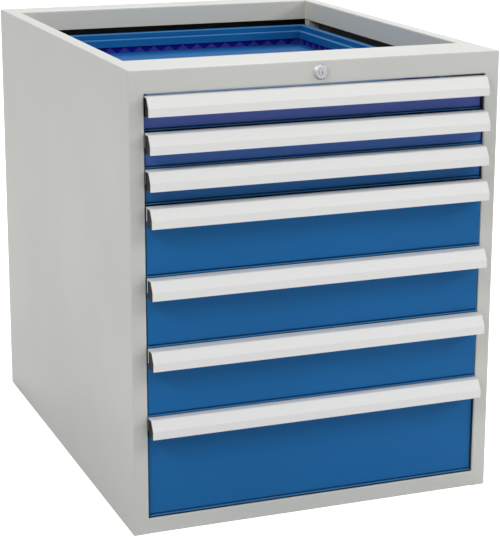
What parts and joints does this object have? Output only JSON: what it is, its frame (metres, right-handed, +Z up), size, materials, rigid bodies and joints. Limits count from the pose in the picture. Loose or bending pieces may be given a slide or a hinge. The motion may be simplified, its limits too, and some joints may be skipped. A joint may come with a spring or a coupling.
{
  "type": "drawer cabinet",
  "caption": "Drawer base cabinet: open-topped grey steel carcass, blue drawers on full-extension rails, white full-width handle strips and one front lock that holds all the drawers",
  "frame": {"origin": "on the floor, under the middle of the carcass seen from above", "axes": "+X to the right seen from the front, +Y to the back, +Z up; the drawers open towards -Y"},
  "size_m": [0.553, 0.7465, 0.658],
  "materials": {
    "grey_paint": "light grey powder coat, satin, very fine texture",
    "blue_paint": "mid blue powder coat, satin, very fine texture",
    "white_aluminium": "off-white powder coat on an aluminium strip",
    "black_plastic": "black moulded plastic, matte",
    "zinc_steel": "zinc-plated rolled steel, semi-bright",
    "lock_metal": "satin nickel-plated die-cast"
  },
  "bodies": {
    "cabinet": {"side_panel_left": "grey_paint", "side_panel_right": "grey_paint", "back_panel": "grey_paint", "base_panel": "grey_paint", "header_rail": "grey_paint", "sill_rail": "grey_paint", "rear_rail": "grey_paint", "uprights_left": "grey_paint", "uprights_right": "grey_paint", "cabinet_rails_left": "zinc_steel", "cabinet_rails_right": "zinc_steel", "lock_housing": "lock_metal", "lock_nut": "lock_metal", "lock_guides": "grey_paint"},
    "drawer_1": {"drawer_1_box": "blue_paint", "drawer_1_front": "blue_paint", "drawer_1_handle": "white_aluminium", "drawer_1_handle_caps": "black_plastic", "drawer_1_rails": "zinc_steel"},
    "middle_1": {"middle_rails_1": "zinc_steel"},
    "drawer_2": {"drawer_2_box": "blue_paint", "drawer_2_front": "blue_paint", "drawer_2_handle": "white_aluminium", "drawer_2_handle_caps": "black_plastic", "drawer_2_rails": "zinc_steel"},
    "middle_2": {"middle_rails_2": "zinc_steel"},
    "drawer_3": {"drawer_3_box": "blue_paint", "drawer_3_front": "blue_paint", "drawer_3_handle": "white_aluminium", "drawer_3_handle_caps": "black_plastic", "drawer_3_rails": "zinc_steel"},
    "middle_3": {"middle_rails_3": "zinc_steel"},
    "drawer_4": {"drawer_4_box": "blue_paint", "drawer_4_front": "blue_paint", "drawer_4_handle": "white_aluminium", "drawer_4_handle_caps": "black_plastic", "drawer_4_rails": "zinc_steel"},
    "middle_4": {"middle_rails_4": "zinc_steel"},
    "drawer_5": {"drawer_5_box": "blue_paint", "drawer_5_front": "blue_paint", "drawer_5_handle": "white_aluminium", "drawer_5_handle_caps": "black_plastic", "drawer_5_rails": "zinc_steel"},
    "middle_5": {"middle_rails_5": "zinc_steel"},
    "drawer_6": {"drawer_6_box": "blue_paint", "drawer_6_front": "blue_paint", "drawer_6_handle": "white_aluminium", "drawer_6_handle_caps": "black_plastic", "drawer_6_rails": "zinc_steel"},
    "middle_6": {"middle_rails_6": "zinc_steel"},
    "drawer_7": {"drawer_7_box": "blue_paint", "drawer_7_front": "blue_paint", "drawer_7_handle": "white_aluminium", "drawer_7_handle_caps": "black_plastic", "drawer_7_rails": "zinc_steel"},
    "middle_7": {"middle_rails_7": "zinc_steel"},
    "lock_plug": {"lock_plug": "lock_metal", "lock_cam": "lock_metal"},
    "lock_link": {"lock_link": "zinc_steel"},
    "lock_bar": {"lock_bar": "zinc_steel"}
  },
  "joints": [
    {"name": "drawer_1_slide", "type": "slide", "parent": "cabinet", "child": "drawer_1", "axis": [0, -1, 0], "range_m": [0, 0.6]},
    {"name": "middle_1_slide", "type": "slide", "parent": "cabinet", "child": "middle_1", "axis": [0, -1, 0], "range_m": [0, 0.3]},
    {"name": "drawer_2_slide", "type": "slide", "parent": "cabinet", "child": "drawer_2", "axis": [0, -1, 0], "range_m": [-0.0055, 0.5945]},
    {"name": "middle_2_slide", "type": "slide", "parent": "cabinet", "child": "middle_2", "axis": [0, -1, 0], "range_m": [-0.00275, 0.29725]},
    {"name": "drawer_3_slide", "type": "slide", "parent": "cabinet", "child": "drawer_3", "axis": [0, -1, 0], "range_m": [-0.005, 0.595]},
    {"name": "middle_3_slide", "type": "slide", "parent": "cabinet", "child": "middle_3", "axis": [0, -1, 0], "range_m": [-0.0025, 0.2975]},
    {"name": "drawer_4_slide", "type": "slide", "parent": "cabinet", "child": "drawer_4", "axis": [0, -1, 0], "range_m": [-0.01, 0.59]},
    {"name": "middle_4_slide", "type": "slide", "parent": "cabinet", "child": "middle_4", "axis": [0, -1, 0], "range_m": [-0.005, 0.295]},
    {"name": "drawer_5_slide", "type": "slide", "parent": "cabinet", "child": "drawer_5", "axis": [0, -1, 0], "range_m": [-0.0095, 0.5905]},
    {"name": "middle_5_slide", "type": "slide", "parent": "cabinet", "child": "middle_5", "axis": [0, -1, 0], "range_m": [-0.00475, 0.29525]},
    {"name": "drawer_6_slide", "type": "slide", "parent": "cabinet", "child": "drawer_6", "axis": [0, -1, 0], "range_m": [-0.0095, 0.5905]},
    {"name": "middle_6_slide", "type": "slide", "parent": "cabinet", "child": "middle_6", "axis": [0, -1, 0], "range_m": [-0.00475, 0.29525]},
    {"name": "drawer_7_slide", "type": "slide", "parent": "cabinet", "child": "drawer_7", "axis": [0, -1, 0], "range_m": [-0.0045, 0.5955]},
    {"name": "middle_7_slide", "type": "slide", "parent": "cabinet", "child": "middle_7", "axis": [0, -1, 0], "range_m": [-0.00225, 0.29775]},
    {"name": "lock_bar_lift", "type": "slide", "parent": "cabinet", "child": "lock_bar", "axis": [0, 0, 1], "range_m": [0, 0.009]},
    {"name": "lock_link_shift", "type": "slide", "parent": "cabinet", "child": "lock_link", "axis": [1, 0, 0], "range_m": [0, 0.009]},
    {"name": "lock_turn", "type": "hinge", "parent": "cabinet", "child": "lock_plug", "pos_m": [0, -0.36, 0.642], "axis": [0, 1, 0], "range_deg": [0, 90]}
  ],
  "couplings": [
    {"joint": "middle_1_slide", "follows": "drawer_1_slide", "ratio": 0.5},
    {"joint": "middle_2_slide", "follows": "drawer_2_slide", "ratio": 0.5},
    {"joint": "middle_3_slide", "follows": "drawer_3_slide", "ratio": 0.5},
    {"joint": "middle_4_slide", "follows": "drawer_4_slide", "ratio": 0.5},
    {"joint": "middle_5_slide", "follows": "drawer_5_slide", "ratio": 0.5},
    {"joint": "middle_6_slide", "follows": "drawer_6_slide", "ratio": 0.5},
    {"joint": "middle_7_slide", "follows": "drawer_7_slide", "ratio": 0.5},
    {"joint": "lock_link_shift", "follows": "lock_bar_lift", "ratio": 1},
    {"joint": "lock_turn", "follows": "lock_bar_lift", "rad_per_m": 174.53}
  ]
}
